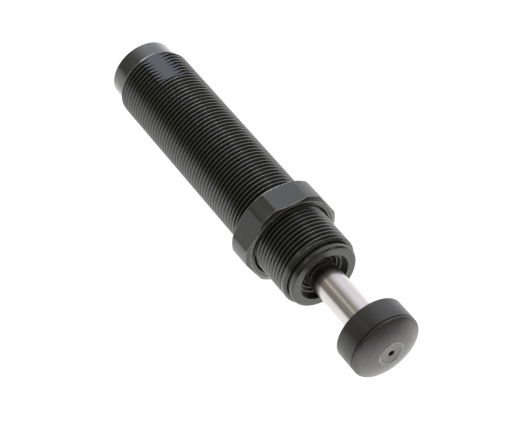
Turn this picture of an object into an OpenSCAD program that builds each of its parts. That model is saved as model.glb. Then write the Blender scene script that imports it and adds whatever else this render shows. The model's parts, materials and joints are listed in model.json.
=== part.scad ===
// Industrial shock absorber: threaded body, jam nut, spring-returned rod with a bumper cap.
// Millimetres, +Z up. The rod points along +X and is shown fully extended.
// The origin is on the thread's axis, in the plane of the jam nut's rear face,
// where a mounting plate sits.

/* [Threaded body] */
// Outer diameter of the body's thread, in the middle of its tolerance
thread_d = 24.85; // [24.3:0.05:27]
// Pitch of the body's thread
pitch = 1.5; // [1:0.25:2]
// Width of the thread's flat crests
crest_w = 0.3; // [0.15:0.01:0.35]
// Width of the thread's flat roots
root_w = 0.19; // [0.15:0.01:0.25]
// Length of the body from its closed end to its front face
body_len = 106.3; // [102:0.1:125]
// Distance from the nut's rear face to the body's front face
front_reach = 26.75; // [16:0.05:50]
// Diameter of the plain collar at the closed end
collar_d = 21.8; // [20:0.1:22.8]
// Length of the plain collar at the closed end
collar_len = 5.75; // [4.5:0.05:9]
// Chamfer on the collar's rear edge
rear_chamfer = 0.2; // [0.1:0.05:0.8]
// Length of the taper where the thread starts behind the collar
rear_taper_len = 2.2; // [1:0.1:4]
// Diameter of the plain pilot at the front face
pilot_d = 22.7; // [21:0.1:23]
// Length of the plain pilot at the front face
pilot_len = 2; // [1:0.1:4]
// Chamfer on the pilot's front edge
front_chamfer = 0.5; // [0.2:0.05:0.8]
// Width of the relief groove behind the pilot
relief_w = 0.35; // [0.2:0.05:1]
// Depth of the relief groove below the pilot
relief_depth = 0.35; // [0.1:0.05:0.6]
// Diameter of the chamfered edge where the thread meets the relief groove
thread_front_d = 23.6; // [23:0.1:24.2]
// Length of the chamfer at the thread's front
front_taper_len = 0.7; // [0.4:0.1:2]
// Length of the plain land in front of the last thread groove, chamfer included
front_land_len = 1.35; // [0.5:0.05:3]
// Length of the flat milled across the rear threads
flat_len = 13.8; // [6:0.2:30]
// Depth of the milled flat below the thread's crests
flat_depth = 0.95; // [0.5:0.05:1.4]

/* [Body bore] */
// Diameter of the body's bore
bore_d = 16.6; // [16.2:0.1:18.2]
// Thickness of the closed end
end_wall = 10; // [9:0.5:14]
// Depth of the mouth in front of the retaining ring
mouth_depth = 2.1; // [1:0.1:4]
// Thickness of the retaining ring
ring_t = 1; // [0.8:0.1:1.4]
// Radial width of the retaining ring
ring_w = 1.85; // [1.5:0.05:2.2]
// How far the retaining ring reaches into its groove
ring_bite = 0.6; // [0.4:0.05:0.8]
// Opening between the ends of the retaining ring
ring_gap = 3; // [2:0.5:5]
// Diameter of the lug holes in the retaining ring
ring_hole_d = 0.9; // [0.6:0.1:1.1]
// Distance from each end of the retaining ring to its lug hole
ring_lug_len = 1.6; // [1:0.1:2.5]

/* [Jam nut] */
// Size across the nut's flats
nut_af = 30; // [29.5:0.1:34]
// Depth that is turned off each corner of the nut
corner_turn = 1.42; // [1:0.02:1.8]
// How far the nut's round bearing faces lie inside its flats, on the radius
nut_face_step = 0.5; // [0.2:0.1:1]
// Thickness of the nut
nut_w = 9.3; // [6:0.1:14]
// Depth of the countersink at each mouth of the nut
nut_sink = 0.8; // [0.4:0.1:1.2]

/* [Rod] */
// Diameter of the piston rod
rod_d = 10; // [9:0.1:11]
// Travel of the rod from extended to compressed
stroke = 22.8; // [15:0.1:25]
// Diameter of the threaded spigot that holds the piston
spigot_d = 6; // [5:0.1:6.5]
// Length of the threaded spigot
spigot_len = 5; // [4:0.1:5.5]
// Chamfer on the rod's front end
rod_chamfer = 0.5; // [0.3:0.1:1]

/* [Bumper cap] */
// Diameter of the cap
cap_d = 22.8; // [20:0.1:25]
// Height of the cap's cylindrical side, up to the groove
cap_side_len = 7.7; // [6.8:0.1:10]
// Chamfer on the cap's rear edge
cap_chamfer = 0.2; // [0.1:0.05:0.8]
// Height of the cap's front above the groove
dome_h = 3.4; // [2.8:0.1:5]
// Radius of the rounded shoulder in front of the groove
shoulder_r = 1.3; // [0.8:0.1:1.8]
// Slope of the cap's front, in degrees
front_slope = 18; // [14:1:22]
// Width of the groove around the cap
cap_groove_w = 0.3; // [0.2:0.02:0.5]
// Depth of the groove around the cap
cap_groove_depth = 0.4; // [0.1:0.05:0.5]
// Diameter of the flat disc in the middle of the cap's front
disc_d = 7.8; // [6:0.1:10]
// Height of the raised edge around the disc
disc_rim_h = 0.15; // [0.1:0.05:0.3]
// Width of the raised edge around the disc
disc_rim_w = 0.3; // [0.2:0.05:0.6]
// Diameter of the small blind hole in the disc
pip_d = 1.6; // [0.8:0.1:2]
// Depth of the small blind hole
pip_depth = 1.6; // [0.5:0.1:2]
// Thickness of the cap's plastic behind its steel insert
cap_back_t = 1.6; // [1:0.1:2]
// Depth that the rod reaches into the cap
cap_socket_depth = 6.4; // [5:0.1:6.6]
// Diameter of the insert's flange
insert_d = 16; // [14.6:0.1:18]
// Thickness of the insert's flange
insert_t = 1.5; // [1:0.1:1.8]
// Wall of the insert's sleeve around the rod
insert_wall = 1.2; // [0.8:0.1:2]

/* [Pressure tube] */
// How far the piston stands out beyond the rod, on the radius
piston_step = 1; // [0.8:0.05:1.1]
// Wall of the pressure tube
tube_wall = 1.3; // [1:0.05:1.6]
// Length of the base that closes the tube's rear end
base_len = 5; // [4:0.1:7]
// Length of the base's boss inside the spring
base_boss_len = 2; // [1:0.1:4]
// Number of metering holes along the stroke
orifice_count = 5; // [3:1:7]
// Diameter of each metering hole
orifice_d = 1.2; // [0.8:0.1:1.6]
// Width of the filling slot across the tube's rear end
fill_slot_w = 2; // [1:0.1:4]
// Depth of the filling slot
fill_slot_depth = 1; // [0.5:0.1:1.6]
// Width of the O-ring groove in the tube's base
base_groove_w = 1.4; // [1.1:0.1:1.6]
// Depth of the O-ring groove in the tube's base
base_groove_depth = 0.95; // [0.8:0.05:1]

/* [Piston] */
// Length of the piston's stop collar
stop_collar_len = 4; // [3:0.1:5]
// Diameter of the oil notches along the stop collar
collar_notch_d = 2.4; // [1.6:0.1:2.6]
// Length of the cross-drilled neck
neck_len = 4; // [3.5:0.1:5]
// Diameter of the cross-drilled neck
neck_d = 8.8; // [7.6:0.1:9.4]
// Length of the piston's sealing head
head_len = 6; // [5.5:0.1:8]
// Width of the piston ring
piston_ring_w = 1.5; // [1:0.1:2]
// Radial thickness of the piston ring
piston_ring_t = 0.85; // [0.6:0.05:1]
// Opening between the ends of the piston ring
piston_ring_gap = 0.4; // [0.2:0.1:1]
// Diameter of the piston's oil passages
passage_d = 1.8; // [1.2:0.1:2.2]
// Diameter of the check ball
ball_d = 3; // [2.6:0.1:3.2]
// Travel of the check ball off its seat
ball_lift = 0.5; // [0.3:0.05:0.8]
// Thickness of the perforated disc that keeps the ball in
retainer_t = 1.2; // [0.8:0.1:1.5]
// Diameter of the oil holes in that disc
retainer_hole_d = 0.9; // [0.6:0.1:1.1]
// Distance of those holes from the axis
retainer_hole_r = 1.1; // [0.9:0.05:1.3]

/* [Return spring] */
// Wire diameter of the return spring
wire_d = 1.1; // [0.8:0.05:1.2]
// Mean coil diameter of the return spring
coil_d = 10; // [9.6:0.1:10.2]
// Thickness of the spring seat
seat_t = 0.8; // [0.6:0.1:1.2]
// Height of the lip on the seat that centres the spring
seat_lip_h = 1.2; // [0.8:0.1:2]
// Wall of the seat's lip
seat_lip_wall = 0.8; // [0.5:0.1:1.2]
// Length left between the closed coils and full compression
coil_reserve = 2; // [1:0.1:4]
// Gap between the closed end coils
coil_gap = 0.02; // [0.01:0.01:0.05]

/* [Gland and seals] */
// Length of the rod bearing
bearing_len = 8; // [6:0.1:10]
// Wall of the rod bearing
bearing_wall = 1; // [0.7:0.05:1.1]
// Thickness of the gland's inner shoulder
gland_shoulder_t = 1; // [0.8:0.1:1.5]
// Radial width of the seal pocket
seal_w = 2.3; // [2:0.05:2.4]
// Length of the rod seal
seal_len = 3.2; // [2.5:0.1:4]
// Thickness of the rod seal's lips at their tips
seal_lip_t = 0.6; // [0.4:0.05:0.8]
// Depth of the cup between the rod seal's lips
seal_cup_depth = 1.8; // [1.2:0.1:2.2]
// Radial clearance between the rod and the heels of the seal and the wiper
heel_gap = 0.3; // [0.2:0.05:0.4]
// Thickness of the support washer in front of the rod seal
washer_t = 0.8; // [0.6:0.1:1.2]
// Length of the wiper ring
wiper_len = 2.6; // [2:0.1:3.5]
// Radial thickness of the wiper's outer case
wiper_case_t = 1; // [0.8:0.05:1.2]
// Width of the groove around the wiper's lip
wiper_groove_w = 0.45; // [0.3:0.05:0.6]
// Depth of the groove around the wiper's lip
wiper_groove_depth = 1.7; // [1:0.1:1.8]
// Thickness of the wiper's lip at its tip
wiper_tip_t = 0.35; // [0.25:0.05:0.45]
// How far the lip's tip lies behind the wiper's front
wiper_tip_back = 0.25; // [0.1:0.05:0.5]
// Length of the lip beside the rod
wiper_lip_len = 0.5; // [0.3:0.1:0.8]
// Width of the gland's O-ring groove
oring_groove_w = 1.8; // [1.5:0.1:2.4]
// Depth of the gland's O-ring groove
oring_groove_depth = 1.3; // [1:0.05:1.4]

/* [Oil reservoir] */
// Distance between the gland and the pressure tube
cage_len = 14.5; // [12:0.5:18]
// Wall of the cage that holds the foam off the rod
cage_wall = 0.7; // [0.5:0.05:0.9]
// Thickness of the cage's flange, which stops the piston
cage_flange_t = 2.5; // [1.5:0.1:3.5]
// Length of the cage's rim over the pressure tube
cage_rim_len = 3; // [2:0.1:5]
// Diameter of the oil holes in the cage
cage_hole_d = 2.4; // [1.5:0.1:3]
// Number of oil notches around the cage's flange
cage_notches = 6; // [4:1:8]
// Diameter of those notches
cage_notch_d = 1.4; // [1:0.1:1.6]

/* [Fill plug] */
// Diameter of the fill port and its plug
plug_d = 6; // [5:0.1:7]
// Diameter of the plug's head
plug_head_d = 9; // [8.6:0.1:11]
// Height of the plug's head
plug_head_h = 2.6; // [2.2:0.1:3.5]
// Length of the plug behind its head
plug_len = 5; // [3:0.1:6]
// Size across the flats of the plug's hexagon socket
plug_key = 3; // [2.5:0.5:4]
// Thickness of the plug's sealing washer
plug_seal_t = 0.8; // [0.6:0.1:1.2]

/* [Clearances] */
// Radial clearance of the rod in its bearing and seals
run_gap = 0.03; // [0.02:0.01:0.06]
// Radial clearance of the piston in its tube and of parts slid into the bore
slip_gap = 0.05; // [0.03:0.01:0.08]
// Radial clearance of the nut over the thread's crests
nut_gap = 0.05; // [0.03:0.01:0.1]
// Gap left between parts that stop on each other
stop_gap = 0.3; // [0.2:0.05:0.5]
// Gap between the spring seat and the piston that turns on it
turn_gap = 0.1; // [0.05:0.05:0.2]
// Radial clearance around parts that must not touch the rod
rod_clear = 0.4; // [0.3:0.05:0.5]

/* [Hidden] */
$fn = 96;
// Overshoot of every cut
cut = 1;

// Radii
thread_r = thread_d / 2;
collar_r = collar_d / 2;
pilot_r = pilot_d / 2;
thread_depth = (pitch - crest_w - root_w) / 2 / tan(30);
bore_r = bore_d / 2;
rod_r = rod_d / 2;
run_r = rod_r + run_gap;
tube_bore_r = rod_r + piston_step;
tube_outer_r = tube_bore_r + tube_wall;
piston_r = tube_bore_r - slip_gap;
slip_r = bore_r - slip_gap;
bearing_outer_r = run_r + bearing_wall;
pocket_r = rod_r + seal_w;
cage_inner_r = rod_r + rod_clear;
cage_outer_r = cage_inner_r + cage_wall;
ring_outer_r = bore_r + ring_bite;
plug_seal_r = plug_head_d / 2;
nut_bore_r = thread_r + nut_gap;
insert_sleeve_r = rod_r + insert_wall;
nut_face_r = nut_af / 2 - nut_face_step;
nut_corner_r = nut_af / 2 / cos(30) - corner_turn;
wire_r = (wire_d - coil_gap) / 2;
boss_r = (coil_d - wire_d) / 2 - slip_gap;
ball_chamber_r = ball_d / 2 + rod_clear;
coil_r = coil_d / 2;

// Planes along the axis
front_x = front_reach;
rear_x = front_x - body_len;
thread_rear_x = rear_x + collar_len;
pilot_rear_x = front_x - pilot_len;
thread_front_x = pilot_rear_x - relief_w;
floor_x = rear_x + end_wall;
ring_front_x = front_x - mouth_depth;
gland_front_x = ring_front_x - ring_t;
wiper_rear_x = gland_front_x - wiper_len;
washer_rear_x = wiper_rear_x - washer_t;
seal_rear_x = washer_rear_x - seal_len;
bearing_front_x = seal_rear_x - gland_shoulder_t;
gland_rear_x = bearing_front_x - bearing_len;
tube_front_x = gland_rear_x - cage_len;
base_front_x = floor_x + base_len;
piston_front_x = tube_front_x - stop_gap;
neck_front_x = piston_front_x - stop_collar_len;
head_front_x = neck_front_x - neck_len;
piston_rear_x = head_front_x - head_len;
seat_front_x = piston_rear_x - turn_gap;
seat_rear_x = seat_front_x - seat_t;
cap_rear_x = front_x + stroke + stop_gap;
groove_x = cap_rear_x + cap_side_len;
cap_front_x = groove_x + dome_h;
rod_front_x = cap_rear_x + cap_socket_depth;

// Check valve, counted forwards from the retainer at the piston's rear face
retainer_front_x = piston_rear_x + retainer_t;
ball_open_x = retainer_front_x + turn_gap + ball_d / 2;
ball_x = ball_open_x + ball_lift;
ball_seat_x = ball_x + sqrt(pow(ball_d / 2, 2) - pow(passage_d / 2, 2)) + turn_gap;

// A closed outline of [position along the axis, radius] points, turned about the axis
module turned(outline) {
    rotate([0, 90, 0]) rotate_extrude() polygon([for (p = outline) [p[1], p[0]]]);
}

// A round bar about the axis, from x0 to x1
module bar(x0, x1, r) {
    translate([x0, 0, 0]) rotate([0, 90, 0]) cylinder(r = r, h = x1 - x0);
}

// A plain ring about the axis, from x0 to x1
module ring(x0, x1, outer_r, inner_r) {
    difference() {
        bar(x0, x1, outer_r);
        bar(x0 - cut, x1 + cut, inner_r);
    }
}

// A round hole across the axis at x, turned by angle about the axis, through one wall
module side_hole(x, angle, r, reach) {
    rotate([angle, 0, 0]) translate([x, 0, 0]) cylinder(r = r, h = reach);
}

// Torus about the axis: an O-ring of the given section radius
module o_ring(x, mean_r, section_r) {
    translate([x, 0, 0]) rotate([0, 90, 0])
        rotate_extrude() translate([mean_r, 0]) circle(r = section_r);
}

// Thread: 60 degree grooves with flat crests and roots
groove_front_x = thread_front_x - front_land_len;
thread_turns = floor((groove_front_x - thread_rear_x) / pitch);
groove_half = (pitch - crest_w) / 2;

function groove_points(x) = [
    [x - groove_half, thread_r], [x - root_w / 2, thread_r - thread_depth],
    [x + root_w / 2, thread_r - thread_depth], [x + groove_half, thread_r]
];

// Crest-high bar with all its grooves, from the closed end to the front face
function threaded_outline() = concat(
    [[rear_x, 0], [rear_x, thread_r]],
    [for (i = [thread_turns - 1:-1:0])
        each groove_points(groove_front_x - groove_half - i * pitch)],
    [[front_x, thread_r], [front_x, 0]]
);

// Turned shape that trims the thread at both ends
function body_outline() = [
    [rear_x, 0],
    [rear_x, collar_r - rear_chamfer],
    [rear_x + rear_chamfer, collar_r],
    [thread_rear_x, collar_r],
    [thread_rear_x + rear_taper_len, thread_r],
    [thread_front_x - front_taper_len, thread_r],
    [thread_front_x, thread_front_d / 2],
    [thread_front_x, pilot_r - relief_depth],
    [pilot_rear_x, pilot_r - relief_depth],
    [pilot_rear_x, pilot_r],
    [front_x - front_chamfer, pilot_r],
    [front_x, pilot_r - front_chamfer],
    [front_x, 0]
];

module outer_body() {
    color("#25261f") difference() {
        intersection() {
            turned(threaded_outline());
            turned(body_outline());
        }
        // Bore, ring groove and mouth
        bar(floor_x, front_x + cut, bore_r);
        bar(gland_front_x, ring_front_x, ring_outer_r + slip_gap);
        // Fill port with the recess for its plug
        bar(rear_x - cut, floor_x + cut, plug_d / 2);
        bar(rear_x - cut, rear_x + plug_head_h + plug_seal_t, plug_head_d / 2 + slip_gap);
        // Milled flat
        translate([thread_rear_x, -thread_r, thread_r - flat_depth])
            cube([flat_len, thread_d, thread_r]);
    }
}

module jam_nut() {
    corner_drop = (nut_corner_r - nut_face_r) * tan(30);
    sink_r = nut_bore_r + nut_sink;
    color("#31322b") difference() {
        intersection() {
            rotate([0, 90, 0]) rotate(30) cylinder(d = nut_af / cos(30), h = nut_w, $fn = 6);
            turned([
                [0, 0], [0, nut_face_r], [corner_drop, nut_corner_r],
                [nut_w - corner_drop, nut_corner_r], [nut_w, nut_face_r], [nut_w, 0]
            ]);
        }
        bar(-cut, nut_w + cut, nut_bore_r);
        // Countersinks
        turned([[-cut, 0], [-cut, sink_r + cut], [nut_sink, nut_bore_r], [nut_sink, 0]]);
        turned([
            [nut_w - nut_sink, 0], [nut_w - nut_sink, nut_bore_r],
            [nut_w + cut, sink_r + cut], [nut_w + cut, 0]
        ]);
    }
}

module fill_plug() {
    head_front_x = rear_x + plug_head_h;
    color("#4a4b48") difference() {
        union() {
            bar(rear_x, head_front_x, plug_head_d / 2);
            bar(rear_x, head_front_x + plug_seal_t + plug_len, plug_d / 2);
        }
        translate([rear_x - cut, 0, 0]) rotate([0, 90, 0])
            cylinder(d = plug_key / cos(30), h = plug_head_h + cut, $fn = 6);
    }
}

module fill_plug_seal() {
    seal_x = rear_x + plug_head_h;
    color("#b87333") ring(seal_x, seal_x + plug_seal_t, plug_seal_r, plug_d / 2);
}

// Hole positions along the stroke that keep the braking force level
function orifice_x(i) = piston_rear_x - stroke * (1 - pow(1 - i / orifice_count, 2));

module pressure_tube() {
    color("#9a9b98") difference() {
        ring(floor_x, tube_front_x, tube_outer_r, tube_bore_r);
        for (i = [0:orifice_count - 1]) side_hole(orifice_x(i), 180 * i, orifice_d / 2, bore_r);
        fill_slots();
    }
}

// Slot across the rear end that lets oil from the fill port reach the tube's outside
module fill_slots() {
    translate([floor_x - cut, -fill_slot_w / 2, -bore_r])
        cube([fill_slot_depth + cut, fill_slot_w, bore_d]);
}

base_groove_x = (floor_x + fill_slot_depth + base_front_x) / 2;
module tube_base() {
    color("#85868a") difference() {
        union() {
            bar(floor_x, base_front_x, tube_bore_r);
            bar(floor_x, base_front_x + base_boss_len, boss_r);
        }
        ring(base_groove_x - base_groove_w / 2, base_groove_x + base_groove_w / 2,
            tube_bore_r + cut, tube_bore_r - base_groove_depth);
        fill_slots();
    }
}

module tube_base_seal() {
    color("#1c1c1c") o_ring(base_groove_x, tube_bore_r - base_groove_depth / 2,
        (base_groove_depth - slip_gap) / 2);
}

module accumulator_cage() {
    flange_front_x = tube_front_x + cage_flange_t;
    hole_pitch = (gland_rear_x - flange_front_x) / 3;
    color("#8f9092") difference() {
        union() {
            ring(tube_front_x, gland_rear_x, cage_outer_r, cage_inner_r);
            ring(tube_front_x, flange_front_x, slip_r, cage_inner_r);
            ring(tube_front_x - cage_rim_len, tube_front_x, slip_r, tube_outer_r);
        }
        for (row = [1:2], side = [0:3])
            side_hole(flange_front_x + row * hole_pitch, 90 * side, cage_hole_d / 2, bore_r);
        for (i = [0:cage_notches - 1]) rotate([360 / cage_notches * i, 0, 0])
            translate([0, 0, bore_r])
                bar(tube_front_x - cage_rim_len - cut, flange_front_x + cut, cage_notch_d / 2);
    }
}

module accumulator_foam() {
    color("#3b3a36")
        ring(tube_front_x + cage_flange_t, gland_rear_x, slip_r, cage_outer_r);
}

gland_groove_x = gland_rear_x + bearing_len / 2;
module front_gland() {
    color("#6d6e6b") difference() {
        bar(gland_rear_x, gland_front_x, slip_r);
        bar(gland_rear_x - cut, bearing_front_x, bearing_outer_r);
        bar(gland_rear_x, gland_front_x, cage_inner_r);
        bar(seal_rear_x, gland_front_x + cut, pocket_r);
        ring(gland_groove_x - oring_groove_w / 2, gland_groove_x + oring_groove_w / 2,
            bore_r + cut, slip_r - oring_groove_depth);
    }
}

module gland_o_ring() {
    groove_r = slip_r - oring_groove_depth;
    section_r = (bore_r - groove_r - slip_gap) / 2;
    color("#1c1c1c") o_ring(gland_groove_x, groove_r + section_r + slip_gap / 2, section_r);
}

module rod_bearing() {
    color("#a8783a") ring(gland_rear_x, bearing_front_x, bearing_outer_r, run_r);
}

// Lip seal, open towards the oil
module rod_seal() {
    cup_x = seal_rear_x + seal_cup_depth;
    heel_r = rod_r + heel_gap;
    color("#5a3a2a") turned([
        [seal_rear_x, pocket_r], [seal_rear_x, pocket_r - seal_lip_t],
        [cup_x, (pocket_r + run_r) / 2],
        [seal_rear_x, run_r + seal_lip_t], [seal_rear_x, run_r],
        [cup_x, heel_r], [washer_rear_x, heel_r], [washer_rear_x, pocket_r]
    ]);
}

module seal_support() {
    color("#d8d4c8") ring(washer_rear_x, wiper_rear_x, pocket_r, rod_r + rod_clear / 2);
}

// Wiper: outer case, a groove, and a lip that leans onto the rod
module wiper_ring() {
    case_r = pocket_r - wiper_case_t;
    groove_floor_x = gland_front_x - wiper_groove_depth;
    tip_x = gland_front_x - wiper_tip_back;
    heel_r = rod_r + heel_gap;
    color("#1f1f1e") turned([
        [wiper_rear_x, heel_r], [wiper_rear_x, pocket_r],
        [gland_front_x, pocket_r], [gland_front_x, case_r],
        [groove_floor_x, case_r], [groove_floor_x, case_r - wiper_groove_w],
        [tip_x, run_r + wiper_tip_t], [tip_x, run_r], [tip_x - wiper_lip_len, run_r]
    ]);
}

// Internal ring with a lug hole beside each end
module retaining_ring() {
    hole_ring_r = ring_outer_r - ring_w / 2;
    lug_angle = 180 + asin((ring_gap / 2 + ring_lug_len) / hole_ring_r);
    color("#55534e") difference() {
        ring(gland_front_x, ring_front_x, ring_outer_r, ring_outer_r - ring_w);
        translate([gland_front_x - cut, -ring_gap / 2, -bore_r - cut])
            cube([ring_t + 2 * cut, ring_gap, bore_r + cut]);
        for (side = [-1, 1]) rotate([side * lug_angle, 0, 0]) translate([0, 0, hole_ring_r])
            bar(gland_front_x - cut, ring_front_x + cut, ring_hole_d / 2);
    }
}

module piston_rod() {
    color("#c9c6c2") union() {
        turned([
            [piston_front_x, 0], [piston_front_x, rod_r],
            [rod_front_x - rod_chamfer, rod_r], [rod_front_x, rod_r - rod_chamfer], [rod_front_x, 0]
        ]);
        bar(piston_front_x - spigot_len, piston_front_x + cut, spigot_d / 2);
    }
}

module piston() {
    neck_mid_x = (neck_front_x + head_front_x) / 2;
    ring_mid_x = (head_front_x + piston_rear_x) / 2;
    cross_x = min(neck_mid_x, piston_front_x - spigot_len - passage_d);
    color("#7c7d7f") difference() {
        union() {
            bar(neck_front_x, piston_front_x, piston_r - turn_gap);
            bar(head_front_x, neck_front_x, neck_d / 2);
            bar(piston_rear_x, head_front_x, piston_r);
        }
        // Spigot socket
        bar(piston_front_x - spigot_len, piston_front_x + cut, spigot_d / 2);
        // Oil notches along the stop collar
        for (i = [0:3]) rotate([90 * i, 0, 0]) translate([0, 0, piston_r])
            bar(neck_front_x - cut, piston_front_x + cut, collar_notch_d / 2);
        // Cross holes in the neck, and the passage back to the check ball
        for (i = [0:3]) side_hole(cross_x, 90 * i + 45, passage_d / 2, piston_r);
        bar(ball_seat_x - cut, cross_x, passage_d / 2);
        bar(piston_rear_x - cut, ball_seat_x, ball_chamber_r);
        // Piston ring groove
        ring(ring_mid_x - piston_ring_w / 2 - slip_gap, ring_mid_x + piston_ring_w / 2 + slip_gap,
            piston_r + cut, tube_bore_r - piston_ring_t - slip_gap);
    }
}

module piston_ring() {
    ring_mid_x = (head_front_x + piston_rear_x) / 2;
    color("#c3b58a") difference() {
        ring(ring_mid_x - piston_ring_w / 2, ring_mid_x + piston_ring_w / 2,
            tube_bore_r - run_gap, tube_bore_r - piston_ring_t);
        translate([ring_mid_x - piston_ring_w, -piston_ring_gap / 2, 0])
            cube([2 * piston_ring_w, piston_ring_gap, tube_bore_r + cut]);
    }
}

module check_ball() {
    color("#d5d6d8") translate([ball_x, 0, 0]) sphere(d = ball_d);
}

module ball_retainer() {
    color("#8a8b88") difference() {
        bar(piston_rear_x, retainer_front_x, ball_chamber_r);
        for (i = [0:2]) rotate([120 * i, 0, 0]) translate([0, 0, retainer_hole_r])
            bar(piston_rear_x - cut, retainer_front_x + cut, retainer_hole_d / 2);
    }
}

module spring_seat() {
    color("#a5a6a3") difference() {
        union() {
            bar(seat_rear_x, seat_front_x, tube_bore_r - 2 * slip_gap);
            bar(seat_rear_x - seat_lip_h, seat_front_x, boss_r);
        }
        bar(seat_rear_x - seat_lip_h - cut, seat_front_x + cut, boss_r - seat_lip_wall);
    }
}

// Return spring: closed end coils and an even pitch between them. Its turns are counted from the
// rear, and each is drawn in short straight steps of a wire with flat sides.
spring_len = seat_rear_x - base_front_x;
coils = floor((spring_len - stroke - coil_reserve) / wire_d);
end_coils = 1;
coil_steps = 20;
wire_sides = 8;
closed_pitch = wire_d + coil_gap;
open_pitch = (spring_len - closed_pitch * 2 * end_coils - wire_d) / (coils - 2 * end_coils);

function coil_x(t) = base_front_x + wire_d / 2
    + closed_pitch * (min(t, end_coils) + max(t - coils + end_coils, 0))
    + open_pitch * max(min(t, coils - end_coils) - end_coils, 0);

function coil_ring(t) = [for (k = [0:wire_sides - 1])
    let (a = 360 * k / wire_sides, r = coil_r + wire_r * cos(a))
    [coil_x(t) + wire_r * sin(a), r * cos(360 * t), r * sin(360 * t)]];

module return_spring() {
    rings = coils * coil_steps;
    points = [for (i = [0:rings]) each coil_ring(i / coil_steps)];
    sides = [for (i = [0:rings - 1], k = [0:wire_sides - 1])
        let (a = i * wire_sides + k, b = i * wire_sides + (k + 1) % wire_sides)
        [a, b, b + wire_sides, a + wire_sides]];
    first = [for (k = [wire_sides - 1:-1:0]) k];
    last = [for (k = [0:wire_sides - 1]) rings * wire_sides + k];
    color("#b9bbbe") polyhedron(points, concat(sides, [first, last]), convexity = 10);
}

// Steel insert moulded into the cap: a flange in front of the rod and a sleeve around it
module insert_solid() {
    bar(cap_rear_x + cap_back_t, rod_front_x + insert_t, insert_sleeve_r);
    bar(rod_front_x, rod_front_x + insert_t, insert_d / 2);
}

module cap_insert() {
    color("#9c9da0") difference() {
        insert_solid();
        bar(cap_rear_x, rod_front_x, rod_r);
    }
}

// Cap: straight side, fine groove, rounded shoulder, sloping front and a rimmed centre disc
shoulder_steps = 12;
function cap_outline() = let (
        cap_r = cap_d / 2,
        disc_r = disc_d / 2,
        shoulder_x = groove_x + cap_groove_w / 2
    ) concat(
    [
        [cap_rear_x, 0], [cap_rear_x, cap_r - cap_chamfer], [cap_rear_x + cap_chamfer, cap_r],
        [groove_x - cap_groove_w / 2, cap_r], [groove_x, cap_r - cap_groove_depth]
    ],
    [for (i = [0:shoulder_steps]) let (a = (90 - front_slope) * i / shoulder_steps)
        [shoulder_x + shoulder_r * sin(a), cap_r - shoulder_r * (1 - cos(a))]],
    [
        [cap_front_x - disc_rim_h, disc_r + disc_rim_w], [cap_front_x, disc_r + disc_rim_w / 2],
        [cap_front_x, disc_r], [cap_front_x - disc_rim_h, disc_r - disc_rim_w / 2],
        [cap_front_x - disc_rim_h, 0]
    ]
);

module bumper_cap() {
    color("#30302e") difference() {
        turned(cap_outline());
        bar(cap_rear_x - cut, cap_rear_x + cap_back_t + cut, rod_r);
        insert_solid();
        bar(cap_front_x - disc_rim_h - pip_depth, cap_front_x + cut, pip_d / 2);
    }
}

outer_body();
jam_nut();
fill_plug();
fill_plug_seal();
pressure_tube();
tube_base();
tube_base_seal();
accumulator_cage();
accumulator_foam();
front_gland();
gland_o_ring();
rod_bearing();
rod_seal();
seal_support();
wiper_ring();
retaining_ring();
piston_rod();
piston();
piston_ring();
check_ball();
ball_retainer();
spring_seat();
return_spring();
cap_insert();
bumper_cap();
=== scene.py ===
"""Industrial shock absorber: a threaded body with its jam nut, a polished rod and a bumper cap.

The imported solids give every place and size. The pieces that show are modelled again here with
their real helical thread, rounded edges and finishes. Lengths are in metres, named angles in
degrees.
"""

import json
from math import acos, asin, atan2, ceil, cos, degrees, pi, radians, sin, tan

import bmesh
import bpy
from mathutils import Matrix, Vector


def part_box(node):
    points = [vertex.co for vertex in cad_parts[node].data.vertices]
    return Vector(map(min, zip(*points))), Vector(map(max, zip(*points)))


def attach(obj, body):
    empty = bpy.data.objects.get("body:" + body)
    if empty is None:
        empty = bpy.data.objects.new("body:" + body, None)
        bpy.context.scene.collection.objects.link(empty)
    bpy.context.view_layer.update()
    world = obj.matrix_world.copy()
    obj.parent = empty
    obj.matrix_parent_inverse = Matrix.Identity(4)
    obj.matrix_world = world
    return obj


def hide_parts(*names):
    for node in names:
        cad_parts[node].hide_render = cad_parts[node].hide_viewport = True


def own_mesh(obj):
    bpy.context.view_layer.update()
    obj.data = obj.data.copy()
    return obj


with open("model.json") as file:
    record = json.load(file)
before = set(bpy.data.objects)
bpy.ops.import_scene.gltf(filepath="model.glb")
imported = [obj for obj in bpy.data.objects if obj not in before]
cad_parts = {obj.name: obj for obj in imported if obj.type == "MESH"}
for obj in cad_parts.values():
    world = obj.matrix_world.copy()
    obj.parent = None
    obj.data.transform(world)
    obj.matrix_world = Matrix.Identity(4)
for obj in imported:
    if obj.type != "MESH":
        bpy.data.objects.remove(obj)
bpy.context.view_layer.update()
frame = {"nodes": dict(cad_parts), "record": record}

MM = 0.001

# ---------- sizes read from the solids

mounts = {mount["name"]: mount for mount in frame["record"]["mounts"]}


def span(node):
    """The rear and front plane of a CAD node along the axis."""
    low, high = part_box(node)
    return low.x, high.x


def outer_radius(node):
    """How far a CAD node reaches above the axis."""
    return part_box(node)[1].z


rear_x, front_x = span("outer_body")
nut_rear_x, nut_front_x = span("jam_nut")
cap_rear_x, cap_front_x = span("bumper_cap")
ring_rear_x, ring_front_x = span("retaining_ring")
wiper_rear_x, wiper_front_x = span("wiper_ring")
spring_rear_x, spring_front_x = span("return_spring")
thread_radius = mounts["body_thread"]["dims"]["r_mm"] * MM
collar_radius = mounts["rear_collar"]["dims"]["r_mm"] * MM
nut_half_flats = outer_radius("jam_nut")
nut_corner_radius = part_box("jam_nut")[1].y
rod_radius = outer_radius("piston_rod")
cap_radius = outer_radius("bumper_cap")
plug_radius = outer_radius("fill_plug")
ring_radius = outer_radius("retaining_ring")
pocket_radius = outer_radius("wiper_ring")

# ---------- sizes that the boxes don't give

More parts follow.
